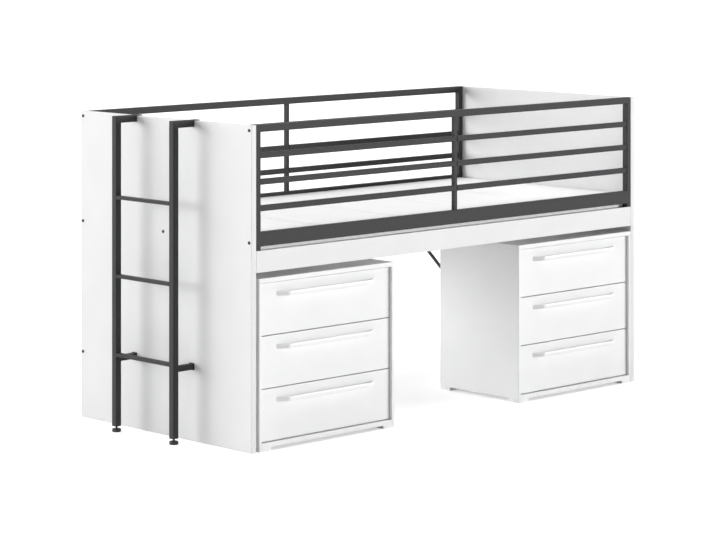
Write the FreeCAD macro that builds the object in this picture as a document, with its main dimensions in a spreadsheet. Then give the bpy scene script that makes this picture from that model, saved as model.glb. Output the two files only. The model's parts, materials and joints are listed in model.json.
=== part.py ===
import FreeCAD, Part
import enum
import os
import re
import Sketcher

# Mid sleeper: a raised single bed on two end panels, with steel guard rails, a hook-on ladder
# and two chests of drawers under the deck. X runs along the bed, -Y is the front, +Z is up.
# Sizes are millimetres. The origin is on the floor under the middle of the whole outline.

# Sizes that can each be set alone
DRIVING_SIZES = {
    # Bed frame
    "bed_length": 2050,
    "bed_depth": 952,
    "panel_height": 1137,
    "panel_thickness": 22,
    "edge_chamfer": 1,
    # Guard rails, and the boards under them, which share the rails' depth
    "side_depth": 25,
    "slot_height": 14,
    "top_bar_height": 25,
    "band_height": 50,
    "end_post_width": 22,
    "mid_post_width": 15,
    "bar_height": 20,
    "bar_depth": 20,
    "tube_corner": 2,
    "board_bottom": 624,
    "board_height": 76,
    # Deck
    "deck_top": 751,
    "deck_thickness": 9,
    "deck_joint": 8,
    "deck_end_gap": 3,
    "deck_side_gap": 0.5,
    "ledger_thickness": 20,
    "ledger_height": 80,
    "beam_width": 25,
    "beam_height": 25,
    # Bolts through the end panels
    "bolt_diameter": 6,
    "bolt_head_diameter": 12,
    "bolt_head_height": 3.5,
    "bolt_grip": 14,
    "bolt_clearance": 0.25,
    "bolt_end_room": 1,
    "upper_bolt_drop": 18,
    # Rear braces
    "brace_bolt_height": 244,
    "brace_rise": 18,
    "brace_width": 10,
    "brace_flange": 4,
    "brace_foot_height": 60,
    "brace_tab": 32,
    # Ladder
    "ladder_standoff": 73,
    "ladder_tube": 25,
    "ladder_clear_width": 295,
    "rail_foot_height": 21,
    "rung_height": 12,
    "first_rung_height": 273,
    "rung_pitch": 284,
    "hook_thickness": 3,
    "hook_bend": 2.5,
    "hook_drop": 30,
    "hook_clearance": 0.4,
    "spacer_size": 20,
    "spacer_height": 255,
    "pad_size": 24,
    "pad_thickness": 4,
    "pad_clearance": 0.3,
    "foot_diameter": 33,
    "foot_thickness": 12,
    "foot_travel": 8,
    "stud_diameter": 8,
    "stud_grip": 30,
    "stud_clearance": 0.2,
    "stud_end_room": 8,
    # Chests
    "chest_width": 660,
    "chest_depth": 420,
    "chest_height": 602,
    "chest_board": 16,
    "chest_side": 12,
    "left_chest_gap": 14,
    "right_chest_gap": 0.3,
    "chest_back": 3,
    "chest_back_inset": 2,
    "chest_foot_height": 12,
    "chest_foot_width": 35,
    "chest_foot_length": 75,
    "chest_foot_setback": 60,
    # Drawers
    "drawer_inset": 11,
    "drawer_gap": 3,
    "drawer_side_gap": 2,
    "front_thickness": 16,
    "box_length": 350,
    "box_lift": 12,
    "box_clearance": 3,
    "wall_thickness": 12,
    "wall_height": 130,
    "bottom_thickness": 5,
    "runner_height": 12,
    "runner_reach": 9,
    "runner_clearance": 0.3,
    "runner_setback": 3,
    # Bow handles
    "handle_length": 480,
    "handle_slope": 40,
    "handle_reach": 26,
    "handle_thickness": 5,
    "handle_height": 16,
    "handle_drop": 41,
    "handle_bend": 30,
    "handle_edge": 1.5,
}

# How many of each
RAIL_BARS = 3
DECK_BOARDS = 5
LADDER_RUNGS = 3
DRAWER_LEVELS = ("bottom", "middle", "top")

doc = FreeCAD.newDocument("mid_sleeper")
sizes = doc.addObject("Spreadsheet::Sheet", "Sizes")
for row, (alias, number) in enumerate(DRIVING_SIZES.items(), start=1):
    sizes.set(f"A{row}", str(number))
    sizes.setAlias(f"A{row}", alias)
doc.recompute()

# Lengths that several pieces share, worked out from the sheet
inner_length = "(bed_length - 2 * panel_thickness)"
board_top = "(board_bottom + board_height)"
rail_height = f"(panel_height - {board_top})"
window_low = "(slot_height + band_height)"
window_high = f"({rail_height} - top_bar_height)"
bar_gap = f"(({window_high} - {window_low} - {RAIL_BARS} * bar_height) / {RAIL_BARS + 1})"
bar_length = f"(({inner_length} - 2 * end_post_width - mid_post_width) / 2)"
deck_bottom = "(deck_top - deck_thickness)"
front_line = "(side_depth / 2)"
rear_line = "(bed_depth - side_depth / 2)"
middle_line = "(bed_depth / 2)"
upper_bolts = "(panel_height - upper_bolt_drop)"
lower_bolts = f"({deck_bottom} - beam_height / 2)"
bolt_hole = "(bolt_diameter / 2 + bolt_clearance)"
bolt_hole_depth = "(bolt_grip + bolt_end_room)"
ladder_front = f"({middle_line} - ladder_clear_width / 2 - ladder_tube)"
ladder_rear = f"({middle_line} + ladder_clear_width / 2)"
ladder_face = "(0 - ladder_standoff - ladder_tube)"
ladder_height = "(panel_height + hook_thickness - rail_foot_height)"
chest_floor = "(chest_foot_height + chest_board)"
chest_inner_width = "(chest_width - 2 * chest_side)"
chest_side_height = "(chest_height - chest_board - chest_foot_height)"
drawer_opening = f"(chest_height - chest_board - {chest_floor})"
front_height = f"(({drawer_opening} - {len(DRAWER_LEVELS) + 1} * drawer_gap) / {len(DRAWER_LEVELS)})"
box_front = "(drawer_inset + front_thickness)"
box_width = f"({chest_inner_width} - 2 * box_clearance)"

# Middle of the whole outline, from the ladder's feet to the far bolt heads and from the handles to the back
ladder_overhang = "(ladder_standoff + ladder_tube / 2 + foot_diameter / 2)"
outline_centre_x = f"((bed_length + bolt_head_height - {ladder_overhang}) / 2)"
outline_centre_y = "((bed_depth + drawer_inset - handle_reach) / 2)"


# Expressions and sketches

class SketchPoint(enum.IntEnum):
    """The numbers that a sketch gives to its origin and to the points of its geometry."""
    ORIGIN = -1
    START = 1
    END = 2
    CENTRE = 3


def linked(expression):
    """The expression with every size's name written as a cell of the sheet."""
    def cell(word):
        return f"Sizes.{word[0]}" if word[0] in DRIVING_SIZES else word[0]
    return re.sub(r"[a-z_]+", cell, expression)


def amount(expression):
    """The number that an expression comes to."""
    return float(sizes.evalExpression(linked(expression)))


def bind(item, property_name, expression):
    item.setExpression(property_name, linked(expression))


def new_body(name, at, turned=0):
    """An empty body whose origin is at a place on the bed, turned about the vertical."""
    body = doc.addObject("PartDesign::Body", name)
    body.Label = name
    body.AllowCompound = False
    body.Placement.Rotation = FreeCAD.Rotation(FreeCAD.Vector(0, 0, 1), turned)
    x, y, z = at
    bind(body, "Placement.Base.x", f"{x} - {outline_centre_x}")
    bind(body, "Placement.Base.y", f"{y} - {outline_centre_y}")
    bind(body, "Placement.Base.z", z)
    return body


def new_sketch(body, plane, lift="0"):
    """A sketch on one of the body's own origin planes, or lifted off it along its normal."""
    sketch = body.newObject("Sketcher::SketchObject", f"{body.Name}_sketch")
    support = [feature for feature in body.Origin.OriginFeatures if feature.Role == plane]
    sketch.AttachmentSupport = (support[0], "")
    sketch.MapMode = "FlatFace"
    bind(sketch, "AttachmentOffset.Base.z", lift)
    return sketch


def place_point(sketch, geometry, point, across, up):
    """Ties a point of the sketch to its distances from the sketch's origin."""
    for kind, expression in (("DistanceX", across), ("DistanceY", up)):
        ends = (SketchPoint.ORIGIN, SketchPoint.START, geometry, point)
        number = sketch.addConstraint(Sketcher.Constraint(kind, *ends, amount(expression)))
        bind(sketch, f"Constraints[{number}]", expression)


def draw_outline(sketch, corners):
    """Closes straight lines through corners, each given across and up from the sketch's origin."""
    first = sketch.GeometryCount
    points = [FreeCAD.Vector(amount(across), amount(up), 0) for across, up in corners]
    for start, end in zip(points, points[1:] + points[:1]):
        sketch.addGeometry(Part.LineSegment(start, end))
    for index, (across, up) in enumerate(corners):
        following = first + (index + 1) % len(corners)
        meeting = (first + index, SketchPoint.END, following, SketchPoint.START)
        sketch.addConstraint(Sketcher.Constraint("Coincident", *meeting))
        place_point(sketch, first + index, SketchPoint.START, across, up)


def draw_rectangle(sketch, left, low, right, high):
    draw_outline(sketch, [(left, low), (right, low), (right, high), (left, high)])


def draw_circle(sketch, across, up, radius):
    centre = FreeCAD.Vector(amount(across), amount(up), 0)
    circle = sketch.addGeometry(Part.Circle(centre, FreeCAD.Vector(0, 0, 1), amount(radius)))
    number = sketch.addConstraint(Sketcher.Constraint("Radius", circle, amount(radius)))
    bind(sketch, f"Constraints[{number}]", radius)
    place_point(sketch, circle, SketchPoint.CENTRE, across, up)


# Features

ALONG_X = FreeCAD.Vector(1, 0, 0)
ALONG_Y = FreeCAD.Vector(0, 1, 0)
ALONG_Z = FreeCAD.Vector(0, 0, 1)
HAIR = 1e-6


def pad(body, sketch, length, reverse=False, both_ways=False):
    feature = body.newObject("PartDesign::Pad", f"{body.Name}_pad")
    feature.Profile = sketch
    feature.Reversed = reverse
    feature.Midplane = both_ways
    bind(feature, "Length", length)
    doc.recompute()


def pocket(body, sketch, depth, reverse=False):
    """Cuts a sketch into the body, and makes sure that it took something away."""
    volume_before = body.Shape.Volume
    feature = body.newObject("PartDesign::Pocket", f"{body.Name}_pocket")
    feature.Profile = sketch
    feature.Reversed = reverse
    bind(feature, "Length", depth)
    doc.recompute()
    if body.Shape.Volume >= volume_before:
        raise ValueError(f"{body.Label}: the pocket cuts nothing")


def turn_profile(body, sketch, axis):
    feature = body.newObject("PartDesign::Revolution", f"{body.Name}_turning")
    feature.Profile = sketch
    feature.ReferenceAxis = (sketch, [axis])
    feature.Angle = 360
    doc.recompute()


def edges_along(*axes):
    """A test for straight edges that run along the given axes."""
    def chosen(edge):
        run = edge.Vertexes[-1].Point - edge.Vertexes[0].Point
        straight = isinstance(edge.Curve, Part.Line)
        return straight and any(abs(abs(run.dot(axis)) - run.Length) < HAIR for axis in axes)
    return chosen


def dress_edges(body, kind, size_property, size, chosen):
    """Rounds or chamfers the chosen edges of the body so far."""
    base = body.Tip
    names = [f"Edge{n}" for n, edge in enumerate(base.Shape.Edges, start=1) if chosen(edge)]
    feature = body.newObject(kind, f"{body.Name}_edges")
    feature.Base = (base, names)
    bind(feature, size_property, size)
    doc.recompute()


def round_edges(body, radius, chosen):
    dress_edges(body, "PartDesign::Fillet", "Radius", radius, chosen)


def chamfer_edges(body, size, chosen):
    dress_edges(body, "PartDesign::Chamfer", "Size", size, chosen)


def block(name, size, at):
    """A straight-sided piece with its lowest corner at the given place."""
    length, depth, height = size
    body = new_body(name, at)
    outline = new_sketch(body, "XY_Plane")
    draw_rectangle(outline, "0", "0", length, depth)
    pad(body, outline, height)
    return body


def board(name, size, at):
    """A board with softened edges."""
    body = block(name, size, at)
    chamfer_edges(body, "edge_chamfer", edges_along(ALONG_X, ALONG_Y, ALONG_Z))
    return body


def tube(name, size, at, axis):
    """A closed square tube with its long corners taken off."""
    body = block(name, size, at)
    chamfer_edges(body, "tube_corner", edges_along(axis))
    return body


def group(name, members):
    """Like pieces under one name."""
    compound = doc.addObject("Part::Compound", name)
    compound.Label = name
    compound.Links = members
    return compound


def bolt_end_holes(body, length, places):
    """Blind bolt holes in both ends of a piece that lies along X between the end panels."""
    for lift, reverse in (("0", True), (length, False)):
        holes = new_sketch(body, "YZ_Plane", lift)
        for y, z in places:
            draw_circle(holes, y, z, bolt_hole)
        pocket(body, holes, bolt_hole_depth, reverse)


# Bed frame

# Each bolt of an end panel: two for each guard rail, one for the rear brace and one for the centre beam
PANEL_BOLTS = (
    (front_line, upper_bolts),
    (front_line, lower_bolts),
    (rear_line, upper_bolts),
    (rear_line, lower_bolts),
    (rear_line, "brace_bolt_height"),
    (middle_line, lower_bolts),
)


def end_panel(name, x):
    body = board(name, ("panel_thickness", "bed_depth", "panel_height"), (x, "0", "0"))
    holes = new_sketch(body, "YZ_Plane")
    for y, z in PANEL_BOLTS:
        draw_circle(holes, y, z, bolt_hole)
    pocket(body, holes, "panel_thickness", reverse=True)
    return body


def side_board(name, y):
    return board(name, (inner_length, "side_depth", "board_height"), ("panel_thickness", y, "board_bottom"))


def rail_frame(name, y):
    """Top tube, band, end posts and middle post in one weldment; the end posts stand on the side board."""
    body = new_body(name, ("panel_thickness", y, board_top))
    right_post = f"({inner_length} - end_post_width)"
    frame = new_sketch(body, "XZ_Plane")
    draw_outline(frame, [
        ("0", "0"),
        ("end_post_width", "0"),
        ("end_post_width", "slot_height"),
        (right_post, "slot_height"),
        (right_post, "0"),
        (inner_length, "0"),
        (inner_length, rail_height),
        ("0", rail_height),
    ])
    draw_rectangle(frame, "end_post_width", window_low, right_post, window_high)
    pad(body, frame, "side_depth", reverse=True)
    chamfer_edges(body, "tube_corner", edges_along(ALONG_X, ALONG_Z))
    post = new_sketch(body, "XZ_Plane", "(mid_post_width - side_depth) / 2")
    post_left = f"(end_post_width + {bar_length})"
    draw_rectangle(post, post_left, window_low, f"{post_left} + mid_post_width", window_high)
    pad(body, post, "mid_post_width", reverse=True)
    bolt_end_holes(body, inner_length, [
        (front_line, f"{upper_bolts} - {board_top}"),
        (front_line, f"{lower_bolts} - {board_top}"),
    ])
    return body


def rail_bars(name, y):
    """Rows of bars, each in two lengths between an end post and the middle post."""
    bars = []
    for row in range(RAIL_BARS):
        z = f"{board_top} + {window_low} + {row + 1} * {bar_gap} + {row} * bar_height"
        for bay in range(2):
            x = f"panel_thickness + end_post_width + {bay} * ({bar_length} + mid_post_width)"
            place = (x, f"{y} + (side_depth - bar_depth) / 2", z)
            size = (bar_length, "bar_depth", "bar_height")
            bars.append(tube(f"{name}_{row}_{bay}", size, place, ALONG_X))
    return group(name, bars)


def deck_boards():
    """Wide boards laid across, from one guard rail to the other."""
    span = f"({inner_length} - 2 * deck_end_gap)"
    width = f"(({span} - {DECK_BOARDS - 1} * deck_joint) / {DECK_BOARDS})"
    depth = "(bed_depth - 2 * side_depth - 2 * deck_side_gap)"
    boards = []
    for index in range(DECK_BOARDS):
        x = f"panel_thickness + deck_end_gap + {index} * ({width} + deck_joint)"
        place = (x, "side_depth + deck_side_gap", deck_bottom)
        boards.append(board(f"deck_board_{index}", (width, depth, "deck_thickness"), place))
    return group("deck_boards", boards)


def deck_ledgers():
    """A batten along the inside of each side board, under the ends of the deck boards."""
    battens = []
    for side, y in (("front", "side_depth"), ("rear", "bed_depth - side_depth - ledger_thickness")):
        place = ("panel_thickness", y, f"{deck_bottom} - ledger_height")
        battens.append(block(f"{side}_ledger", (inner_length, "ledger_thickness", "ledger_height"), place))
    return group("deck_ledgers", battens)


def centre_beam():
    place = ("panel_thickness", f"{middle_line} - beam_width / 2", f"{deck_bottom} - beam_height")
    body = tube("centre_beam", (inner_length, "beam_width", "beam_height"), place, ALONG_X)
    bolt_end_holes(body, inner_length, [("beam_width / 2", "beam_height / 2")])
    return body


def panel_bolt(name, place, turned):
    """A low round head on the panel's outer face, with a shank that reaches into the piece behind it."""
    body = new_body(name, place, turned)
    profile = new_sketch(body, "XY_Plane")
    shank_end = "(bolt_head_height + panel_thickness + bolt_grip)"
    draw_outline(profile, [
        ("0", "0"),
        ("0", "bolt_head_diameter / 2"),
        ("bolt_head_height", "bolt_head_diameter / 2"),
        ("bolt_head_height", "bolt_diameter / 2"),
        (shank_end, "bolt_diameter / 2"),
        (shank_end, "0"),
    ])
    turn_profile(body, profile, "H_Axis")
    return body


def panel_bolts():
    bolts = []
    for index, (y, z) in enumerate(PANEL_BOLTS):
        bolts.append(panel_bolt(f"left_bolt_{index}", ("0 - bolt_head_height", y, z), 0))
        bolts.append(panel_bolt(f"right_bolt_{index}", ("bed_length + bolt_head_height", y, z), 180))
    return group("panel_bolts", bolts)


def brace(name, x, turned):
    """A tube at 45 degrees from a flange on the end panel to a flange under the rear side board."""
    body = new_body(name, (x, rear_line, "0"), turned)
    top = "(board_bottom - brace_flange)"
    start = "(brace_bolt_height + brace_rise)"
    half_cut = "(brace_width * sqrt(2) / 2)"
    reach = f"(brace_flange + {top} - {start})"
    slant = new_sketch(body, "XZ_Plane")
    draw_outline(slant, [
        ("brace_flange", f"{start} - {half_cut}"),
        (f"{reach} + {half_cut}", top),
        (f"{reach} - {half_cut}", top),
        ("brace_flange", f"{start} + {half_cut}"),
    ])
    pad(body, slant, "brace_width", both_ways=True)
    foot = new_sketch(body, "XZ_Plane")
    foot_low = "(brace_bolt_height - brace_foot_height / 2)"
    draw_rectangle(foot, "0", foot_low, "brace_flange", f"{foot_low} + brace_foot_height")
    pad(body, foot, "side_depth", both_ways=True)
    tab = new_sketch(body, "XZ_Plane")
    draw_rectangle(tab, f"{reach} - {half_cut}", top, f"{reach} + {half_cut} + brace_tab", "board_bottom")
    pad(body, tab, "side_depth", both_ways=True)
    bolt_entry = new_sketch(body, "YZ_Plane")
    draw_circle(bolt_entry, "0", "brace_bolt_height", bolt_hole)
    pocket(body, bolt_entry, bolt_hole_depth, reverse=True)
    return body


# Ladder

def ladder_rail(name, y):
    """A square tube bent over to the panel's top edge, with a spacer tube and a bore for its foot's stud."""
    body = new_body(name, (ladder_face, y, "rail_foot_height"))
    arm_end = "(ladder_tube + ladder_standoff - hook_clearance)"
    bent_tube = new_sketch(body, "XZ_Plane")
    draw_outline(bent_tube, [
        ("0", "0"),
        ("ladder_tube", "0"),
        ("ladder_tube", f"{ladder_height} - ladder_tube"),
        (arm_end, f"{ladder_height} - ladder_tube"),
        (arm_end, ladder_height),
        ("0", ladder_height),
    ])
    pad(body, bent_tube, "ladder_tube", reverse=True)
    lengthwise = edges_along(ALONG_X, ALONG_Z)
    tube_end = amount("ladder_tube") + HAIR
    chamfer_edges(body, "tube_corner", lambda edge: lengthwise(edge) and edge.Length > tube_end)
    spacer = new_sketch(body, "YZ_Plane", "ladder_tube")
    near_side = "((ladder_tube - spacer_size) / 2)"
    low_side = "(spacer_height - rail_foot_height)"
    draw_rectangle(spacer, near_side, low_side, f"{near_side} + spacer_size", f"{low_side} + spacer_size")
    pad(body, spacer, "ladder_standoff - pad_thickness - pad_clearance")
    bore = new_sketch(body, "XY_Plane")
    draw_circle(bore, "ladder_tube / 2", "ladder_tube / 2", "stud_diameter / 2 + stud_clearance")
    pocket(body, bore, "stud_grip + foot_travel + stud_end_room", reverse=True)
    return body


def ladder_rungs():
    """Flat tubes between the rails."""
    rungs = []
    for index in range(LADDER_RUNGS):
        place = (ladder_face, f"{ladder_front} + ladder_tube", f"first_rung_height + {index} * rung_pitch")
        size = ("ladder_tube", "ladder_clear_width", "rung_height")
        rungs.append(tube(f"rung_{index}", size, place, ALONG_Y))
    return group("ladder_rungs", rungs)


def ladder_hook(name, y):
    """A strap from the end of the arm over the panel's top edge, bent down on its inner side."""
    body = new_body(name, ("0 - hook_clearance", y, "panel_height - hook_drop"))
    strap = new_sketch(body, "XZ_Plane")
    lip = "(panel_thickness + 2 * hook_clearance)"
    strap_top = "(hook_drop + hook_thickness)"
    strap_end = f"({lip} + hook_thickness)"
    draw_outline(strap, [
        (lip, "0"),
        (strap_end, "0"),
        (strap_end, strap_top),
        ("0", strap_top),
        ("0", "hook_drop"),
        (lip, "hook_drop"),
    ])
    pad(body, strap, "ladder_tube", reverse=True)
    across = edges_along(ALONG_Y)
    bend = Part.Vertex(amount(strap_end), 0, amount(strap_top))
    round_edges(body, "hook_bend", lambda edge: across(edge) and edge.distToShape(bend)[0] < HAIR)
    return body


def ladder_pad(name, y):
    """A soft cap on the end of a spacer, against the panel."""
    place = (
        "0 - pad_clearance - pad_thickness",
        f"{y} + (ladder_tube - pad_size) / 2",
        "spacer_height + (spacer_size - pad_size) / 2",
    )
    return block(name, ("pad_thickness", "pad_size", "pad_size"), place)


def ladder_foot(name, y):
    """A levelling foot: a disc on a stud that screws into the rail."""
    body = new_body(name, (f"{ladder_face} + ladder_tube / 2", f"{y} + ladder_tube / 2", "0"))
    profile = new_sketch(body, "XZ_Plane")
    stud_end = "(rail_foot_height + stud_grip)"
    draw_outline(profile, [
        ("0", "0"),
        ("foot_diameter / 2", "0"),
        ("foot_diameter / 2", "foot_thickness"),
        ("stud_diameter / 2", "foot_thickness"),
        ("stud_diameter / 2", stud_end),
        ("0", stud_end),
    ])
    turn_profile(body, profile, "V_Axis")
    return body


# Chests of drawers

def drawer_base(level):
    """Height of a drawer front's lower edge."""
    return f"({chest_floor} + drawer_gap + {level} * ({front_height} + drawer_gap))"


def chest(side, x):
    """The carcass of one chest: boards, thin back, feet and the strips that the drawers run on."""
    name = f"{side}_chest"
    inner_x = f"{x} + chest_side"
    right_x = f"{x} + chest_width"
    back_y = "(chest_depth - chest_back_inset - chest_back)"
    runner_y = f"({box_front} + runner_setback)"
    rear_foot_y = "(chest_depth - chest_foot_setback - chest_foot_length)"
    side_size = ("chest_side", "chest_depth", chest_side_height)
    top_size = ("chest_width", "chest_depth", "chest_board")
    base_size = (chest_inner_width, "chest_depth", "chest_board")
    back_size = (chest_inner_width, "chest_back", drawer_opening)
    foot_size = ("chest_foot_width", "chest_foot_length", "chest_foot_height")
    runner_size = ("runner_reach", f"{back_y} - {runner_y}", "runner_height")
    feet = []
    for hand, foot_x in (("left", x), ("right", f"{right_x} - chest_foot_width")):
        for end, foot_y in (("front", "0"), ("rear", rear_foot_y)):
            feet.append(block(f"{name}_foot_{hand}_{end}", foot_size, (foot_x, foot_y, "0")))
    runners = []
    for level in range(len(DRAWER_LEVELS)):
        runner_z = f"{drawer_base(level)} + box_lift + bottom_thickness + (wall_height - runner_height) / 2"
        for hand, runner_x in (("left", inner_x), ("right", f"{right_x} - chest_side - runner_reach")):
            place = (runner_x, runner_y, runner_z)
            runners.append(block(f"{name}_runner_{hand}_{level}", runner_size, place))
    return [
        board(f"{name}_left_side", side_size, (x, "0", "chest_foot_height")),
        board(f"{name}_right_side", side_size, (f"{right_x} - chest_side", "0", "chest_foot_height")),
        board(f"{name}_top", top_size, (x, "0", "chest_height - chest_board")),
        block(f"{name}_base", base_size, (inner_x, "0", "chest_foot_height")),
        block(f"{name}_back", back_size, (inner_x, back_y, chest_floor)),
        group(f"{name}_feet", feet),
        group(f"{name}_runners", runners),
    ]


def grooved_wall(name, place, turned):
    """A drawer's side wall with a groove along its outer face, which hangs on the runner."""
    body = new_body(name, place, turned)
    groove_depth = "(runner_reach - box_clearance + runner_clearance)"
    groove_low = "((wall_height - runner_height) / 2 - runner_clearance)"
    groove_high = "((wall_height + runner_height) / 2 + runner_clearance)"
    section = new_sketch(body, "XZ_Plane")
    draw_outline(section, [
        ("0", "0"),
        ("wall_thickness", "0"),
        ("wall_thickness", "wall_height"),
        ("0", "wall_height"),
        ("0", groove_high),
        (groove_depth, groove_high),
        (groove_depth, groove_low),
        ("0", groove_low),
    ])
    pad(body, section, "box_length", reverse=True)
    return body


def drawer_box(name, box_x, base):
    """Two grooved walls and a plain back wall between them."""
    wall_z = f"{base} + box_lift + bottom_thickness"
    box_end = f"({box_front} + box_length)"
    back_size = (f"{box_width} - 2 * wall_thickness", "wall_thickness", "wall_height")
    back_place = (f"{box_x} + wall_thickness", f"{box_end} - wall_thickness", wall_z)
    return group(name, [
        grooved_wall(f"{name}_left_wall", (box_x, box_front, wall_z), 0),
        grooved_wall(f"{name}_right_wall", (f"{box_x} + {box_width}", box_end, wall_z), 180),
        block(f"{name}_back_wall", back_size, back_place),
    ])


def bow_handle(name, x, base):
    """A long strap that bows out from the drawer front, with rounded bends and softened edges."""
    strap_low = f"{base} + {front_height} - handle_drop - handle_height / 2"
    body = new_body(name, (x, "drawer_inset - handle_reach", strap_low))
    foot = "(handle_thickness * sqrt(handle_reach^2 + handle_slope^2) / handle_reach)"
    inner_bend = f"({foot} + (handle_reach - handle_thickness) * handle_slope / handle_reach)"
    outline = new_sketch(body, "XY_Plane")
    draw_outline(outline, [
        ("0", "handle_reach"),
        ("handle_slope", "0"),
        ("handle_length - handle_slope", "0"),
        ("handle_length", "handle_reach"),
        (f"handle_length - {foot}", "handle_reach"),
        (f"handle_length - {inner_bend}", "handle_thickness"),
        (inner_bend, "handle_thickness"),
        (foot, "handle_reach"),
    ])
    pad(body, outline, "handle_height")
    upright = edges_along(ALONG_Z)
    outer_face = 0
    inner_face = amount("handle_thickness")
    seat = amount("handle_reach")
    for radius, face in (("handle_bend", outer_face), ("handle_bend - handle_thickness", inner_face)):
        round_edges(body, radius, lambda edge: upright(edge) and abs(edge.Vertexes[0].Y - face) < HAIR)
    chamfer_edges(body, "handle_edge", lambda edge: (
        edge.BoundBox.ZLength < HAIR and edge.BoundBox.YMin < seat - HAIR
    ))
    return body


def drawer(side, level, x):
    """One drawer of a chest: front, box, bottom and handle."""
    name = f"{side}_{DRAWER_LEVELS[level]}_drawer"
    base = drawer_base(level)
    front_x = f"{x} + chest_side + drawer_side_gap"
    front_size = (f"{chest_inner_width} - 2 * drawer_side_gap", "front_thickness", front_height)
    box_x = f"{x} + chest_side + box_clearance"
    handle_x = f"{x} + (chest_width - handle_length) / 2"
    bottom_size = (box_width, "box_length", "bottom_thickness")
    return [
        board(f"{name}_front", front_size, (front_x, "drawer_inset", base)),
        drawer_box(f"{name}_box", box_x, base),
        block(f"{name}_bottom", bottom_size, (box_x, box_front, f"{base} + box_lift")),
        bow_handle(f"{name}_handle", handle_x, base),
    ]


# The whole bed

rear_side = "(bed_depth - side_depth)"
parts = [
    end_panel("left_end_panel", "0"),
    end_panel("right_end_panel", "bed_length - panel_thickness"),
    side_board("front_side_board", "0"),
    side_board("rear_side_board", rear_side),
    rail_frame("front_rail_frame", "0"),
    rail_frame("rear_rail_frame", rear_side),
    rail_bars("front_rail_bars", "0"),
    rail_bars("rear_rail_bars", rear_side),
    deck_boards(),
    deck_ledgers(),
    centre_beam(),
    brace("left_brace", "panel_thickness", 0),
    brace("right_brace", "bed_length - panel_thickness", 180),
    panel_bolts(),
    ladder_rail("ladder_front_rail", ladder_front),
    ladder_rail("ladder_rear_rail", ladder_rear),
    ladder_rungs(),
    group("ladder_hooks", [ladder_hook("front_hook", ladder_front), ladder_hook("rear_hook", ladder_rear)]),
    group("ladder_pads", [ladder_pad("front_pad", ladder_front), ladder_pad("rear_pad", ladder_rear)]),
    ladder_foot("ladder_front_foot", ladder_front),
    ladder_foot("ladder_rear_foot", ladder_rear),
]
CHEST_PLACES = {
    "left": "panel_thickness + left_chest_gap",
    "right": "bed_length - panel_thickness - right_chest_gap - chest_width",
}
for side, x in CHEST_PLACES.items():
    parts += chest(side, x)
    for level in range(len(DRAWER_LEVELS)):
        parts += drawer(side, level, x)
doc.recompute()

# Nothing is written unless every object is sound
for item in doc.Objects:
    if {"Invalid", "Error"} & set(item.State):
        raise RuntimeError(f"{item.Label} failed: {item.State}")
for part in parts:
    if part.Shape.isNull() or not part.Shape.isValid():
        raise RuntimeError(f"{part.Label} has no valid shape")

os.makedirs("parts", exist_ok=True)
overall = FreeCAD.BoundBox()
for part in parts:
    part.Shape.exportStep(f"parts/{part.Label}.step")
    overall.add(part.Shape.BoundBox)
print(f"{len(parts)} sub-parts, {overall.XLength:.1f} x {overall.YLength:.1f} x {overall.ZLength:.1f} mm")
print(f"outline centre {overall.Center.x:.3f}, {overall.Center.y:.3f}, lowest point {overall.ZMin:.3f}")
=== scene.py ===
# %% [markdown]
# # A mid sleeper bed, dressed for its photograph
# The solid model already gives every board, tube and drawer its true size and place. This lesson
# adds what the eye expects on top of that: lacquer, powder coat, rubber, screw heads, weld beads
# and threads. The solids are loaded first, as a fixed frame. Everything else takes its place from
# their corners, so nothing has to be fitted by eye.

# %% Load the solid model
import json
import math

import bmesh
import bpy
from mathutils import Matrix, Vector


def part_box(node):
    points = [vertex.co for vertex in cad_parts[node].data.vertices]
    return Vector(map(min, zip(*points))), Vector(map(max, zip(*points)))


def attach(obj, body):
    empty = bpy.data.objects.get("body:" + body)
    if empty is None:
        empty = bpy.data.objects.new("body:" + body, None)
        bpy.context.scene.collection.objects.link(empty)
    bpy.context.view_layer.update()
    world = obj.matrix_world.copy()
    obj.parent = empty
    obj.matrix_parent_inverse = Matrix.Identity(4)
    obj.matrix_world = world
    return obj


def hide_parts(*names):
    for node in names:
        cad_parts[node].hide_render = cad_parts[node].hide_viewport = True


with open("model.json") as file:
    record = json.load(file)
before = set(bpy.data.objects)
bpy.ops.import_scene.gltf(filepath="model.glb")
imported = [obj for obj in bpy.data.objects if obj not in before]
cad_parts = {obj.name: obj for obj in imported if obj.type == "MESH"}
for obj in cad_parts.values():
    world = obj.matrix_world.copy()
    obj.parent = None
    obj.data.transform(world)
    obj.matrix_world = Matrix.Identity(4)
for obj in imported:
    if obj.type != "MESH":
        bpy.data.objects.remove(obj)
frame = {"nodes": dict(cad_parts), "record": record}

MILLIMETRE = 0.001
scene = bpy.context.scene
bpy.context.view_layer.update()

# %% [markdown]
# ## Camera
# Every upright line of the bed is upright in the photograph as well, although the camera looks down
# on the bed from a height of almost two metres. So the film stood upright, and only the lens looked
# down: a view camera does this, with a lens that slides on its own standard. Matching the corners
# of the panels, rails and chests gives the tripod's place, its turn, the focal length in pixels,
# and how far the eye level lies above the picture's middle. The tripod stands level. The camera on
# it leans its own depth axis and nothing else.

# %% Camera at the photograph's angle
PHOTO_WIDTH_PIXELS = 716
FOCAL_LENGTH_PIXELS = 2644.9
EYE_LEVEL_PIXELS = 357.1
TRIPOD_PLACE = (-7.0754, -7.3042, 1.8732)
TRIPOD_YAW = math.radians(44.047)

lean = EYE_LEVEL_PIXELS / FOCAL_LENGTH_PIXELS
tripod = bpy.data.objects.new("tripod", None)
tripod.location = TRIPOD_PLACE
tripod.rotation_euler = (math.radians(90), 0, -TRIPOD_YAW)
scene.collection.objects.link(tripod)

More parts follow.
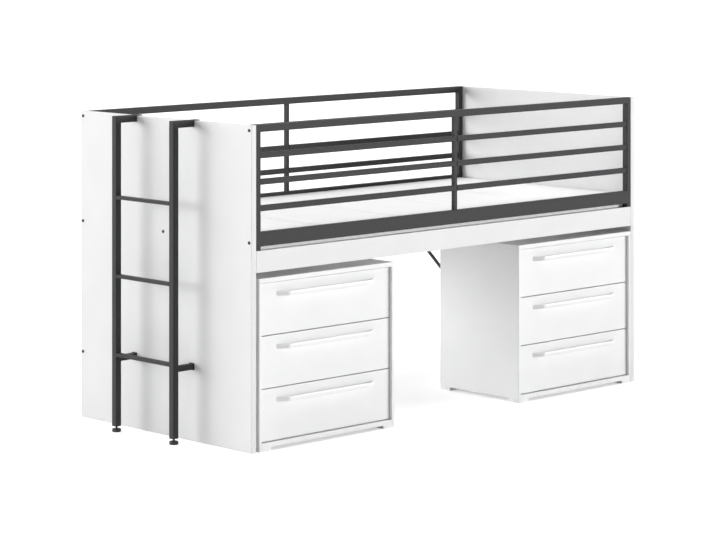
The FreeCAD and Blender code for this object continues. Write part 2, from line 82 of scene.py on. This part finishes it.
lens = bpy.data.cameras.new("photo_camera")
lens.lens = lens.sensor_width * FOCAL_LENGTH_PIXELS / PHOTO_WIDTH_PIXELS * math.hypot(1, lean)
camera = bpy.data.objects.new("photo_camera", lens)
camera.parent = tripod
leaning_axis = Matrix.Identity(4)
leaning_axis[1][2] = lean
camera.matrix_parent_inverse = leaning_axis
scene.collection.objects.link(camera)
scene.camera = camera
scene.view_settings.view_transform = "Standard"
print(f"a {lens.lens:.1f} mm lens looking down by {math.degrees(math.atan(lean)):.1f} degrees")

# %% [markdown]
# ## Floor and surroundings
# The bed stands on a seamless white studio sweep. White paint sends most of the light back up,
# which is why the drawer fronts are bright right down to the floor and the gaps between them stay
# grey instead of black. A shadow falls on such a floor only faintly. The camera finds some extra
# glow on it, so that the floor ends as white as the wall behind, and so does a ray that comes by
# way of a glossy surface. The glow lights nothing: matt surfaces never meet it. The world is
# treated in the same way.

# %% Floor and world
FLOOR_HALF_SIDE = 40.0
FLOOR_COLOUR = (0.84, 0.84, 0.84, 1)
FLOOR_GLOW = 0.45
DOME_STRENGTH = 0.05
WHITE = (1, 1, 1, 1)


def seen_not_felt(nodes, links):
    """One for a ray from the camera, off gloss or through glass, and nought for all other light."""
    path = nodes.new("ShaderNodeLightPath")
    seen = path.outputs["Is Camera Ray"]
    for kind in ("Is Glossy Ray", "Is Transmission Ray"):
        either = nodes.new("ShaderNodeMath")
        either.operation = "MAXIMUM"
        links.new(seen, either.inputs[0])
        links.new(path.outputs[kind], either.inputs[1])
        seen = either.outputs[0]
    return seen


floor_finish = bpy.data.materials.new("studio_floor")
floor_finish.use_nodes = True
nodes = floor_finish.node_tree.nodes
links = floor_finish.node_tree.links
nodes.clear()
paint = nodes.new("ShaderNodeBsdfDiffuse")
paint.inputs["Color"].default_value = FLOOR_COLOUR
glow = nodes.new("ShaderNodeEmission")
glow.inputs["Color"].default_value = WHITE
glow_level = nodes.new("ShaderNodeMath")
glow_level.operation = "MULTIPLY"
glow_level.inputs[1].default_value = FLOOR_GLOW
both = nodes.new("ShaderNodeAddShader")
surface = nodes.new("ShaderNodeOutputMaterial")
links.new(seen_not_felt(nodes, links), glow_level.inputs[0])
links.new(glow_level.outputs[0], glow.inputs["Strength"])
links.new(paint.outputs[0], both.inputs[0])
links.new(glow.outputs[0], both.inputs[1])
links.new(both.outputs[0], surface.inputs["Surface"])

floor_mesh = bpy.data.meshes.new("studio_floor")
half = FLOOR_HALF_SIDE
floor_mesh.from_pydata(
    [(-half, -half, 0), (half, -half, 0), (half, half, 0), (-half, half, 0)], [], [(0, 1, 2, 3)])
floor_mesh.materials.append(floor_finish)
floor = bpy.data.objects.new("studio_floor", floor_mesh)
scene.collection.objects.link(floor)

world = bpy.data.worlds.new("studio_dome")
world.use_nodes = True
scene.world = world
nodes = world.node_tree.nodes
links = world.node_tree.links
nodes.clear()
dome = nodes.new("ShaderNodeBackground")
dome.inputs["Color"].default_value = WHITE
dome.inputs["Strength"].default_value = DOME_STRENGTH
backdrop = nodes.new("ShaderNodeBackground")
backdrop.inputs["Color"].default_value = WHITE
choice = nodes.new("ShaderNodeMixShader")
sky = nodes.new("ShaderNodeOutputWorld")
links.new(seen_not_felt(nodes, links), choice.inputs["Fac"])
links.new(dome.outputs[0], choice.inputs[1])
links.new(backdrop.outputs[0], choice.inputs[2])
links.new(choice.outputs[0], sky.inputs["Surface"])
print("floor, dome and white backdrop")

# %% [markdown]
# ## Studio lamps
# The tones in the photograph tell where the light came from. The drawer fronts are the brightest
# faces, so a large light stands low on the right in front. It stands lower than the camera, so each
# handle throws its shadow up, as a soft grey band above the strap. The end panel keeps this light
# off the ladder, whose front faces are nearly black. One overhead lights the deck and the tops of
# the rails. Two more stand behind on the left: one throws the ladder's soft shadows on the end
# panel, and one reaches under the bed to the side of the chest. Sun lamps with a wide disc stand
# for large softboxes far away.

# %% Softboxes
def softbox(name, compass, height, strength, spread):
    """A wide sun lamp. The compass angle is counted from the front (-Y) towards the right (+X)."""
    lamp = bpy.data.lights.new(name, "SUN")
    lamp.energy = strength
    lamp.angle = math.radians(spread)
    towards = Vector((
        math.sin(math.radians(compass)) * math.cos(math.radians(height)),
        -math.cos(math.radians(compass)) * math.cos(math.radians(height)),
        math.sin(math.radians(height)),
    ))
    holder = bpy.data.objects.new(name, lamp)
    holder.rotation_euler = towards.to_track_quat("Z", "Y").to_euler()
    scene.collection.objects.link(holder)
    print(f"{name} from {compass} degrees, {height} degrees up")


softbox("front_softbox", compass=47, height=3, strength=3.0, spread=22)
softbox("top_softbox", compass=0, height=89, strength=2.5, spread=50)
softbox("ladder_softbox", compass=-123, height=7, strength=1.25, spread=28)
softbox("rear_softbox", compass=-150, height=6, strength=2.65, spread=46)

# %% [markdown]
# ## Ways to build a finish
# A finish is never one even colour. Lacquer has a faint stipple from the roller, powder coat a fine
# grain, rubber a dull bloom. All of these can come from noise: the same noise, at the right grain
# in millimetres, drives the colour a little, the roughness a little more, and a bump. The solids
# keep their place in their meshes, so object coordinates are metres on the bed itself and no
# unwrapping is needed.

# %% Helpers for finishes
NOISE_LOW, NOISE_HIGH = 0.3, 0.7
finishes = {}


class Finish:
    """A material on one of the record's slots, built up from noise at real sizes."""

    def __init__(self, slot, roughness, specular):
        self.material = bpy.data.materials.new(slot)
        self.material.use_nodes = True
        self.nodes = self.material.node_tree.nodes
        self.links = self.material.node_tree.links
        self.shader = self.nodes["Principled BSDF"]
        self.shader.inputs["Roughness"].default_value = roughness
        self.shader.inputs["Specular IOR Level"].default_value = specular
        self.place = self.nodes.new("ShaderNodeTexCoord").outputs["Object"]
        self.normal = None
        finishes[slot] = self.material

    def noise(self, grain, stretch=(1, 1, 1), detail=2.0):
        """Noise whose spots are about one grain across, drawn out along an axis by its stretch."""
        texture = self.nodes.new("ShaderNodeTexNoise")
        texture.inputs["Scale"].default_value = 1 / grain
        texture.inputs["Detail"].default_value = detail
        if stretch == (1, 1, 1):
            self.links.new(self.place, texture.inputs["Vector"])
        else:
            drawn_out = self.nodes.new("ShaderNodeMapping")
            drawn_out.inputs["Scale"].default_value = [1 / length for length in stretch]
            self.links.new(self.place, drawn_out.inputs["Vector"])
            self.links.new(drawn_out.outputs["Vector"], texture.inputs["Vector"])
        return texture.outputs["Fac"]

    def tint(self, pattern, dark, light):
        """Colour that drifts between two close tones."""
        ramp = self.nodes.new("ShaderNodeValToRGB")
        ramp.color_ramp.elements[0].position = NOISE_LOW
        ramp.color_ramp.elements[0].color = (*dark, 1)
        ramp.color_ramp.elements[1].position = NOISE_HIGH
        ramp.color_ramp.elements[1].color = (*light, 1)
        self.links.new(pattern, ramp.inputs["Fac"])
        self.links.new(ramp.outputs["Color"], self.shader.inputs["Base Color"])

    def sheen_patches(self, pattern, smooth, rough):
        """Roughness that drifts between two values."""
        spread = self.nodes.new("ShaderNodeMapRange")
        spread.inputs["From Min"].default_value = NOISE_LOW
        spread.inputs["From Max"].default_value = NOISE_HIGH
        spread.inputs["To Min"].default_value = smooth
        spread.inputs["To Max"].default_value = rough
        self.links.new(pattern, spread.inputs["Value"])
        self.links.new(spread.outputs["Result"], self.shader.inputs["Roughness"])

    def relief(self, pattern, height, strength=1.0):
        """Fine relief, laid on top of any relief before it."""
        bump = self.nodes.new("ShaderNodeBump")
        bump.inputs["Distance"].default_value = height
        bump.inputs["Strength"].default_value = strength
        self.links.new(pattern, bump.inputs["Height"])
        if self.normal:
            self.links.new(self.normal, bump.inputs["Normal"])
        self.normal = bump.outputs["Normal"]
        self.links.new(self.normal, self.shader.inputs["Normal"])


print("finishes are built from noise, tint, sheen patches and relief")

# %% [markdown]
# ## White boards
# The end panels and side boards are coated board with a satin white film. Its tone drifts by about
# one percent over a hand's breadth, and close to, the film shows a fine upright drag and a stipple
# of about a millimetre. The chests are lacquered a little smoother, and the drawer boxes are plain
# white foil.

# %% White finishes
def white_board():
    film = Finish("white_board", roughness=0.42, specular=0.4)
    film.tint(film.noise(0.16), dark=(0.728, 0.73, 0.733), light=(0.752, 0.753, 0.754))
    film.sheen_patches(film.noise(0.03), smooth=0.38, rough=0.47)
    drag = film.noise(2 * MILLIMETRE, stretch=(1, 1, 30))
    film.relief(drag, height=0.03 * MILLIMETRE, strength=0.35)
    film.relief(film.noise(0.9 * MILLIMETRE), height=0.03 * MILLIMETRE, strength=0.4)


def chest_white():
    lacquer = Finish("chest_white", roughness=0.36, specular=0.45)
    lacquer.tint(lacquer.noise(0.12), dark=(0.822, 0.825, 0.828), light=(0.846, 0.847, 0.848))
    lacquer.sheen_patches(lacquer.noise(0.02), smooth=0.32, rough=0.41)
    lacquer.relief(lacquer.noise(1.1 * MILLIMETRE), height=0.03 * MILLIMETRE, strength=0.4)


def deck_white():
    paint = Finish("deck_white", roughness=0.6, specular=0.3)
    streaks = paint.noise(0.05, stretch=(1, 12, 1))
    paint.tint(streaks, dark=(0.87, 0.87, 0.868), light=(0.9, 0.9, 0.898))
    paint.sheen_patches(paint.noise(0.02, stretch=(1, 8, 1)), smooth=0.55, rough=0.68)
    brush = paint.noise(1.5 * MILLIMETRE, stretch=(1, 40, 1))
    paint.relief(brush, height=0.06 * MILLIMETRE, strength=0.5)


def drawer_white():
    foil = Finish("drawer_white", roughness=0.5, specular=0.35)
    foil.tint(foil.noise(0.06), dark=(0.83, 0.83, 0.826), light=(0.86, 0.86, 0.856))
    foil.sheen_patches(foil.noise(0.015), smooth=0.45, rough=0.56)
    foil.relief(foil.noise(0.8 * MILLIMETRE), height=0.04 * MILLIMETRE, strength=0.5)


def thin_board():
    hardboard = Finish("thin_board", roughness=0.62, specular=0.3)
    fibres = hardboard.noise(6 * MILLIMETRE, detail=6)
    hardboard.tint(fibres, dark=(0.8, 0.8, 0.79), light=(0.86, 0.86, 0.85))
    hardboard.sheen_patches(hardboard.noise(0.01), smooth=0.56, rough=0.7)
    nap = hardboard.noise(1.4 * MILLIMETRE, detail=5)
    hardboard.relief(nap, height=0.08 * MILLIMETRE, strength=0.6)


def handle_white():
    enamel = Finish("handle_white", roughness=0.3, specular=0.5)
    enamel.tint(enamel.noise(0.02), dark=(0.852, 0.854, 0.856), light=(0.872, 0.873, 0.874))
    enamel.sheen_patches(enamel.noise(6 * MILLIMETRE), smooth=0.26, rough=0.34)
    enamel.relief(enamel.noise(0.7 * MILLIMETRE), height=0.01 * MILLIMETRE, strength=0.3)


def runner():
    nylon = Finish("runner", roughness=0.45, specular=0.45)
    nylon.tint(nylon.noise(8 * MILLIMETRE), dark=(0.8, 0.8, 0.79), light=(0.84, 0.84, 0.83))
    nylon.sheen_patches(nylon.noise(3 * MILLIMETRE, stretch=(1, 20, 1)), smooth=0.38, rough=0.52)
    nylon.relief(nylon.noise(0.5 * MILLIMETRE), height=0.02 * MILLIMETRE, strength=0.4)


white_finishes = (
    white_board, chest_white, deck_white, drawer_white, thin_board, handle_white, runner)
for make_finish in white_finishes:
    make_finish()
print("white finishes:", ", ".join(finishes))

# %% [markdown]
# ## Dark steel, rubber and plastic
# The rails and the ladder are square steel tube under a dark grey powder coat. Powder melts into a
# skin like fine orange peel, a little over half a millimetre from hump to hump, and it scatters a
# highlight into a soft sheen. The bolts are blacked steel, smoother and harder. The pads behind the
# ladder are dull rubber, and its feet are moulded black plastic.

# %% Dark finishes
def frame_steel():
    powder = Finish("frame_steel", roughness=0.55, specular=0.08)
    grains = powder.noise(1.6 * MILLIMETRE, detail=4)
    powder.tint(grains, dark=(0.048, 0.048, 0.05), light=(0.062, 0.062, 0.064))
    powder.sheen_patches(powder.noise(4 * MILLIMETRE), smooth=0.48, rough=0.62)
    powder.relief(powder.noise(0.7 * MILLIMETRE), height=0.06 * MILLIMETRE, strength=0.6)


def fastener():
    blacked = Finish("fastener", roughness=0.38, specular=0.5)
    blacked.shader.inputs["Metallic"].default_value = 0.55
    oxide = blacked.noise(1.5 * MILLIMETRE, detail=4)
    blacked.tint(oxide, dark=(0.03, 0.03, 0.032), light=(0.06, 0.06, 0.062))
    blacked.sheen_patches(blacked.noise(1.0 * MILLIMETRE), smooth=0.3, rough=0.48)
    blacked.relief(blacked.noise(0.35 * MILLIMETRE), height=0.015 * MILLIMETRE, strength=0.5)


def pad_rubber():
    rubber = Finish("pad_rubber", roughness=0.85, specular=0.2)
    bloom = rubber.noise(4 * MILLIMETRE, detail=4)
    rubber.tint(bloom, dark=(0.02, 0.02, 0.021), light=(0.034, 0.034, 0.035))
    rubber.sheen_patches(rubber.noise(2 * MILLIMETRE), smooth=0.78, rough=0.92)
    rubber.relief(rubber.noise(0.4 * MILLIMETRE), height=0.04 * MILLIMETRE, strength=0.6)


def foot_plastic():
    plastic = Finish("foot_plastic", roughness=0.5, specular=0.4)
    plastic.tint(plastic.noise(3 * MILLIMETRE), dark=(0.018, 0.018, 0.019), light=(0.03, 0.03, 0.031))
    plastic.sheen_patches(plastic.noise(1.5 * MILLIMETRE), smooth=0.42, rough=0.58)
    plastic.relief(plastic.noise(0.3 * MILLIMETRE), height=0.03 * MILLIMETRE, strength=0.6)


for make_finish in (frame_steel, fastener, pad_rubber, foot_plastic):
    make_finish()

for part in frame["record"]["subparts"]:
    for slot in frame["nodes"][part["node"]].material_slots:
        slot.material = finishes[part["material_slot"]]

# %% [markdown]
# ## Ways to build a small piece
# Bolt heads, screw heads and feet are turned on a lathe, so each can be built as a stack of rings
# about an axis. Where a tool must grip, a ring is a hexagon or a cross instead of a circle, and the
# stack goes back down into the head. A finished piece is shaded smooth but keeps its sharp edges.
# It takes a finish, and it rides on the body that it is screwed or welded to.

# %% Helpers for small pieces
SHARP_EDGE = math.radians(40)
NEARLY_NOUGHT = 0.001


def add_piece(name, shape, body, slot):
    """Makes an object of a finished shape, on a body and with a slot's finish."""
    bmesh.ops.recalc_face_normals(shape, faces=shape.faces)
    mesh = bpy.data.meshes.new(name)
    shape.to_mesh(mesh)
    shape.free()
    mesh.shade_smooth()
    mesh.set_sharp_from_angle(angle=SHARP_EDGE)
    mesh.materials.append(finishes[slot])
    thing = bpy.data.objects.new(name, mesh)
    scene.collection.objects.link(thing)
    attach(thing, body)
    print(f"{name}: {len(mesh.polygons)} faces on {body}")
    return thing


def skin(shape, loops):
    """Joins a row of loops of equal length and closes both ends."""
    for near, far in zip(loops, loops[1:]):
        for here in range(len(near)):
            after = (here + 1) % len(near)
            shape.faces.new((near[here], near[after], far[after], far[here]))
    shape.faces.new(loops[0])
    shape.faces.new(loops[-1])


def turn(shape, rings, place, facing, sides=32):
    """Stacks rings about an axis. A ring is its reach at every angle, and a height in millimetres."""
    seat = Matrix.Translation(place) @ facing.to_track_quat("Z", "Y").to_matrix().to_4x4()
    angles = [math.tau * step / sides for step in range(sides)]
    loops = []
    for reach, height in rings:
        loop = []
        for angle in angles:
            corner = Vector((reach(angle) * math.cos(angle), reach(angle) * math.sin(angle), height))
            loop.append(shape.verts.new(seat @ (corner * MILLIMETRE)))
        loops.append(loop)
    skin(shape, loops)


def circle(radius):
    """The reach of a round ring."""
    return lambda angle: radius


def hexagon(across_flats):
    """The reach of a ring with six flats."""
    sixth = math.pi / 3

    def reach(angle):
        from_flat = (angle + sixth / 2) % sixth - sixth / 2
        return across_flats / 2 / math.cos(from_flat)

    return reach


def cross(length, width):
    """The reach of a ring with four arms."""
    quarter = math.pi / 2

    def reach(angle):
        from_arm = min(angle % quarter, quarter - angle % quarter)
        beside_arm = width / 2 / max(math.sin(from_arm), NEARLY_NOUGHT)
        return min(length / 2 / math.cos(from_arm), beside_arm)

    return reach


def middle(node):
    """The middle of a solid's box."""
    low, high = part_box(node)
    return (low + high) / 2


LEFT, RIGHT = Vector((-1, 0, 0)), Vector((1, 0, 0))
FRONT, BACK = Vector((0, -1, 0)), Vector((0, 1, 0))
DOWN, UP = Vector((0, 0, -1)), Vector((0, 0, 1))
print("small pieces are turned, swept or welded on")

# %% [markdown]
# ## Panel bolts
# Six bolts hold each end panel to what lies behind it: the guard rails, the beam under the deck and
# the rear brace. Their heads are low domes with a four-millimetre hexagon socket, the kind that
# comes in a flat pack together with its key. A real one is cold-formed from wire. Here the dome is
# a few rings, and the socket is a few hexagons that go down from the rim.

# %% Bolt heads with hexagon sockets
UPPER_BOLT_DROP = 18 * MILLIMETRE
BRACE_BOLT_RISE = 30 * MILLIMETRE
BOLT_RINGS = [
    (circle(2.5), -36.0), (circle(3.0), -35.4), (circle(3.0), 0.0),
    (circle(5.8), 0.0), (circle(6.0), 0.25), (circle(5.95), 0.9), (circle(5.5), 1.9),
    (circle(4.7), 2.8), (circle(3.7), 3.35), (circle(2.8), 3.5),
    (hexagon(4.3), 3.45), (hexagon(4.0), 3.2), (hexagon(4.0), 1.2), (hexagon(1.0), 0.7),
]

left_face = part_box("left_end_panel")[0].x
right_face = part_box("right_end_panel")[1].x
front_line = middle("front_rail_frame").y
rear_line = middle("rear_rail_frame").y
upper_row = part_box("left_end_panel")[1].z - UPPER_BOLT_DROP
lower_row = middle("centre_beam").z
brace_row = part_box("left_brace")[0].z + BRACE_BOLT_RISE
bolt_places = [
    (front_line, upper_row), (front_line, lower_row), (rear_line, upper_row), (rear_line, lower_row),
    (rear_line, brace_row), (middle("centre_beam").y, lower_row),
]
shape = bmesh.new()
for y, z in bolt_places:
    turn(shape, BOLT_RINGS, Vector((left_face, y, z)), LEFT, sides=36)
    turn(shape, BOLT_RINGS, Vector((right_face, y, z)), RIGHT, sides=36)
bolt_heads = add_piece("panel_bolt_heads", shape, "bed", "fastener")
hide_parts("panel_bolts")

# %% [markdown]
# ## Wood screws
# Two pan-head screws go up through each brace's flange into the rear side board, and one from
# inside each drawer front into either foot of its handle. The driver's recess is a cross: a ring
# whose reach is short between the arms. A shallow dome and a sharp rim are what tells a pan head
# from a bolt at a glance.

# %% Screws in the braces and behind the handles
BRACE_SCREW_INSETS = (9 * MILLIMETRE, 23 * MILLIMETRE)
BRACE_FLANGE = 4 * MILLIMETRE
HANDLE_FOOT_MIDDLE = 4.6 * MILLIMETRE
PAN_HEAD_RINGS = [
    (circle(0.3), -14.0), (circle(1.6), -11.5), (circle(1.7), 0.0),
    (circle(3.9), 0.0), (circle(4.0), 0.5), (circle(3.7), 1.3), (circle(3.1), 1.9),
    (circle(2.4), 2.2), (cross(4.2, 1.1), 2.2), (cross(3.2, 0.8), 0.9),
]
CHESTS = ("left", "right")
LEVELS = ("bottom", "middle", "top")
drawers = [f"{side}_{level}_drawer" for side in CHESTS for level in LEVELS]

flange_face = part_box("rear_side_board")[0].z - BRACE_FLANGE
left_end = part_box("left_brace")[1].x
right_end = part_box("right_brace")[0].x
shape = bmesh.new()
for inset in BRACE_SCREW_INSETS:
    for x in (left_end - inset, right_end + inset):
        turn(shape, PAN_HEAD_RINGS, Vector((x, rear_line, flange_face)), DOWN)
add_piece("brace_screws", shape, "bed", "fastener")

for drawer in drawers:
    handle_low, handle_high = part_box(f"{drawer}_handle")
    inner_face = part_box(f"{drawer}_front")[1].y
    height = (handle_low.z + handle_high.z) / 2
    shape = bmesh.new()
    for x in (handle_low.x + HANDLE_FOOT_MIDDLE, handle_high.x - HANDLE_FOOT_MIDDLE):
        turn(shape, PAN_HEAD_RINGS, Vector((x, inner_face, height)), BACK)
    add_piece(f"{drawer}_handle_screws", shape, drawer, "fastener")

# %% [markdown]
# ## Bow handles
# Each handle is one long flat strap, bent near both ends so that a hand fits behind it. On the real
# drawer its section has soft corners, which catch a thin line of light along the top. So a rounded
# rectangle is swept along the strap's middle line: down the slope, round an arc, straight on, and
# the same again mirrored. The two end sections are slid along the slope until they sit in the
# drawer's front.

# %% Handles swept along a bow
STRAP_THICKNESS = 5 * MILLIMETRE
STRAP_CORNER = 1.8 * MILLIMETRE
STRAP_SLOPE = 40 * MILLIMETRE
STRAP_BEND = 30 * MILLIMETRE
SEAT_DEPTH = 0.3 * MILLIMETRE
ARC_STEPS = 8
CORNER_STEPS = 4


def rounded_section(width, height, radius):
    """Points round a rectangle with soft corners: how far outwards, and how far up."""
    points = []
    for quarter, (side, level) in enumerate(((1, 1), (-1, 1), (-1, -1), (1, -1))):
        for step in range(CORNER_STEPS + 1):
            angle = math.pi / 2 * (quarter + step / CORNER_STEPS)
            outwards = side * (width / 2 - radius) + radius * math.cos(angle)
            upwards = level * (height / 2 - radius) + radius * math.sin(angle)
            points.append((outwards, upwards))
    return points


def sweep_bow(shape, low, high):
    """A strap from one end of the box to the other, standing off the box's back by its depth."""
    length, reach, height = high - low
    slant = math.atan2(reach, STRAP_SLOPE)
    half = STRAP_THICKNESS / 2
    radius = STRAP_BEND - half
    arc_along = STRAP_SLOPE + (half + radius) * math.tan(slant / 2)
    section = rounded_section(STRAP_THICKNESS, height, STRAP_CORNER)
    left_half = []
    for step in range(-1, ARC_STEPS + 1):
        angle = slant * (1 - max(step, 0) / ARC_STEPS)
        loop = []
        for outwards, upwards in section:
            along = arc_along - (radius + outwards) * math.sin(angle)
            back = half + radius - (radius + outwards) * math.cos(angle)
            if step < 0:
                along -= (reach + SEAT_DEPTH - back) / math.tan(slant)
                back = reach + SEAT_DEPTH
            loop.append((along, back, height / 2 + upwards))
        left_half.append(loop)
    right_half = []
    for loop in reversed(left_half):
        right_half.append([(length - along, back, up) for along, back, up in loop])
    loops = []
    for loop in left_half + right_half:
        loops.append([shape.verts.new(low + Vector(point)) for point in loop])
    skin(shape, loops)


for drawer in drawers:
    shape = bmesh.new()
    sweep_bow(shape, *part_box(f"{drawer}_handle"))
    handle = add_piece(f"{drawer}_bow_handle", shape, drawer, "handle_white")
    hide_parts(f"{drawer}_handle")

# %% [markdown]
# ## Levelling feet
# Each ladder rail stands on a foot that screws in and out. The disc is moulded plastic with a
# fluted rim for the fingers, and it has a shallow dish round the stud. The thread is rolled into
# the stud. As a shape it is a circle whose reach rises and falls once a turn, and which starts a
# little further round at every ring.

# %% Feet with a fluted rim and a threaded stud
# These sizes are in millimetres, as in all rings
FLUTES = 16
FLUTE_DEPTH = 0.6
THREAD_PITCH = 1.25
THREAD_DEPTH = 0.65
STUD_RADIUS = 4.0
THREAD_LOW, THREAD_HIGH, STUD_TOP = 11.0, 30.0, 51.0
RINGS_A_TURN = 6


def fluted(radius):
    """The reach of a ring with hollows for the fingers."""
    return lambda angle: radius - FLUTE_DEPTH * (0.5 - 0.5 * math.cos(FLUTES * angle))


def threaded(height):
    """The reach of a screw thread, cut across at a height."""

    def reach(angle):
        turns = (height / THREAD_PITCH - angle / math.tau) % 1
        return STUD_RADIUS - THREAD_DEPTH * abs(2 * turns - 1)

    return reach


DISC_RINGS = [
    (circle(13.5), 0.0), (fluted(15.4), 0.4), (fluted(16.5), 2.0), (fluted(16.5), 9.6),
    (fluted(16.1), 10.9), (circle(14.6), 11.8), (circle(13.2), 12.0), (circle(11.6), 11.3),
    (circle(7.0), 11.2), (circle(5.6), 12.0), (circle(4.2), 12.0),
]
thread_rings = round((THREAD_HIGH - THREAD_LOW) / THREAD_PITCH * RINGS_A_TURN)
thread_heights = [THREAD_LOW + step * THREAD_PITCH / RINGS_A_TURN for step in range(thread_rings + 1)]
STUD_RINGS = [(threaded(height), height) for height in thread_heights]
STUD_RINGS += [(circle(3.6), THREAD_HIGH + 0.6), (circle(3.6), STUD_TOP - 1), (circle(2.8), STUD_TOP)]

for end in ("front", "rear"):
    under = middle(f"ladder_{end}_foot")
    under.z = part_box(f"ladder_{end}_foot")[0].z
    disc_shape = bmesh.new()
    turn(disc_shape, DISC_RINGS, under, UP, sides=6 * FLUTES)
    disc = add_piece(f"{end}_foot_disc", disc_shape, f"{end}_levelling_foot", "foot_plastic")
    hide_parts(f"ladder_{end}_foot")
    stud_shape = bmesh.new()
    turn(stud_shape, STUD_RINGS, under, UP, sides=24)
    add_piece(f"{end}_foot_stud", stud_shape, f"{end}_levelling_foot", "fastener")

# %% [markdown]
# ## Chest pads
# Each chest stands on four low square pads, one flush with every corner, so that air gets under the
# base and a mop does not reach its edges. The photograph shows them best at the right chest: the
# pad under its rear corner turns a dark face to the front. They are cut from board and glued on.
# The edge that meets the floor is eased, because a square one would splinter when the chest is
# pushed about.

# %% Pads under the corners of the chests
PAD_SIDE = 55 * MILLIMETRE
PAD_CORNER = 2 * MILLIMETRE
PAD_EASING = 1.5 * MILLIMETRE


def add_pad(shape, x, y, low, high):
    """A square pad about a point, drawn in a little at the floor."""
    loops = []
    for inset, z in ((PAD_EASING, low), (0, low + PAD_EASING), (0, high)):
        plan = rounded_section(PAD_SIDE - 2 * inset, PAD_SIDE - 2 * inset, PAD_CORNER)
        loops.append([shape.verts.new((x + across, y + along, z)) for across, along in plan])
    skin(shape, loops)


for side in CHESTS:
    low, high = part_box(f"{side}_chest_feet")
    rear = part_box(f"{side}_chest_left_side")[1].y
    shape = bmesh.new()
    for x in (low.x + PAD_SIDE / 2, high.x - PAD_SIDE / 2):
        for y in (low.y + PAD_SIDE / 2, rear - PAD_SIDE / 2):
            add_pad(shape, x, y, low.z, high.z)
    pads = add_piece(f"{side}_chest_pads", shape, "bed", "chest_white")
    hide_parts(f"{side}_chest_feet")

# %% [markdown]
# ## Weld beads
# The guard-rail bars are welded to their posts, and the ladder's rungs and spacers to its rails,
# before the whole frame is powder-coated. A bead fills the corner between two faces. It is about
# two millimetres wide, thin where it starts and stops, and rippled where the pool froze step by
# step. The corners are found from the solids: every bar of a row is one connected island in its
# mesh.

# %% Beads where the tubes meet
BEAD_LEG = 1.9 * MILLIMETRE
BEAD_SINK = 0.2 * MILLIMETRE
RIPPLE_LENGTH = 2.2 * MILLIMETRE
RIPPLE_HEIGHT = 0.14
STEPS_A_RIPPLE = 4
BEAD_START = 0.35
BEAD_SWELL = 6
LEAST_STEPS = 6
SAME_POINT = 0.01 * MILLIMETRE
BEAD_PROFILE = ((1.0, 0.0), (0.85, 0.36), (0.64, 0.64), (0.36, 0.85), (0.0, 1.0))
TUBE_CORNER = 2.5 * MILLIMETRE
MID_POST_DEPTH = 15 * MILLIMETRE
SPACER_SIZE = 20 * MILLIMETRE


def islands(node):
    """The box of each connected solid in a node, in order of their low corners."""
    shape = bmesh.new()
    shape.from_mesh(frame["nodes"][node].data)
    bmesh.ops.remove_doubles(shape, verts=shape.verts, dist=SAME_POINT)
    unseen = set(shape.verts)
    boxes = []
    while unseen:
        found, waiting = [], [unseen.pop()]
        while waiting:
            vert = waiting.pop()
            found.append(vert.co.copy())
            neighbours = {edge.other_vert(vert) for edge in vert.link_edges} & unseen
            unseen -= neighbours
            waiting += neighbours
        boxes.append((
            Vector([min(place[axis] for place in found) for axis in range(3)]),
            Vector([max(place[axis] for place in found) for axis in range(3)]),
        ))
    shape.free()
    return sorted(boxes, key=lambda box: tuple(box[0]))


def weld(shape, centre, run, out, up):
    """A bead in the corner between two faces, along run. Its legs lie along out and up."""
    steps = max(LEAST_STEPS, round(run.length / RIPPLE_LENGTH * STEPS_A_RIPPLE))
    loops = []
    for step in range(steps + 1):
        along = step / steps
        start_and_stop = min(1, BEAD_START + BEAD_SWELL * min(along, 1 - along))
        ripple = 1 + RIPPLE_HEIGHT * math.sin(math.tau * step / STEPS_A_RIPPLE)
        leg = BEAD_LEG * start_and_stop * ripple
        corner = centre + run * (along - 0.5) - (out + up) * BEAD_SINK
        section = [corner]
        section += [corner + (out * across + up * high) * leg for across, high in BEAD_PROFILE]
        loops.append([shape.verts.new(point) for point in section])
    skin(shape, loops)


rail_shape = bmesh.new()
for side in ("front", "rear"):
    mid_post = middle(f"{side}_rail_frame").x
    for low, high in islands(f"{side}_rail_bars"):
        centre = (low + high) / 2
        for x, out in ((low.x, RIGHT), (high.x, LEFT)):
            at_end_post = abs(x - mid_post) > MID_POST_DEPTH
            width = (high.y - low.y if at_end_post else MID_POST_DEPTH) - 2 * TUBE_CORNER
            for z, up in ((low.z, DOWN), (high.z, UP)):
                weld(rail_shape, Vector((x, centre.y, z)), BACK * width, out, up)
            if at_end_post:
                upright = UP * (high.z - low.z - 2 * TUBE_CORNER)
                weld(rail_shape, Vector((x, low.y, centre.z)), upright, out, FRONT)
                weld(rail_shape, Vector((x, high.y, centre.z)), upright, out, BACK)
add_piece("rail_weld_beads", rail_shape, "bed", "frame_steel")

ladder_shape = bmesh.new()
for low, high in islands("ladder_rungs"):
    rail_face = high.x
    across = RIGHT * (high.x - low.x - 2 * TUBE_CORNER)
    for y, out in ((low.y, BACK), (high.y, FRONT)):
        for z, up in ((low.z, DOWN), (high.z, UP)):
            weld(ladder_shape, Vector(((low.x + high.x) / 2, y, z)), across, out, up)
for low, high in islands("ladder_pads"):
    spacer_end = Vector((rail_face, (low.y + high.y) / 2, (low.z + high.z) / 2))
    for up, run in ((UP, BACK), (DOWN, BACK), (FRONT, UP), (BACK, UP)):
        edge = spacer_end + up * SPACER_SIZE / 2
        weld(ladder_shape, edge, run * (SPACER_SIZE - TUBE_CORNER), RIGHT, up)
add_piece("ladder_weld_beads", ladder_shape, "ladder", "frame_steel")
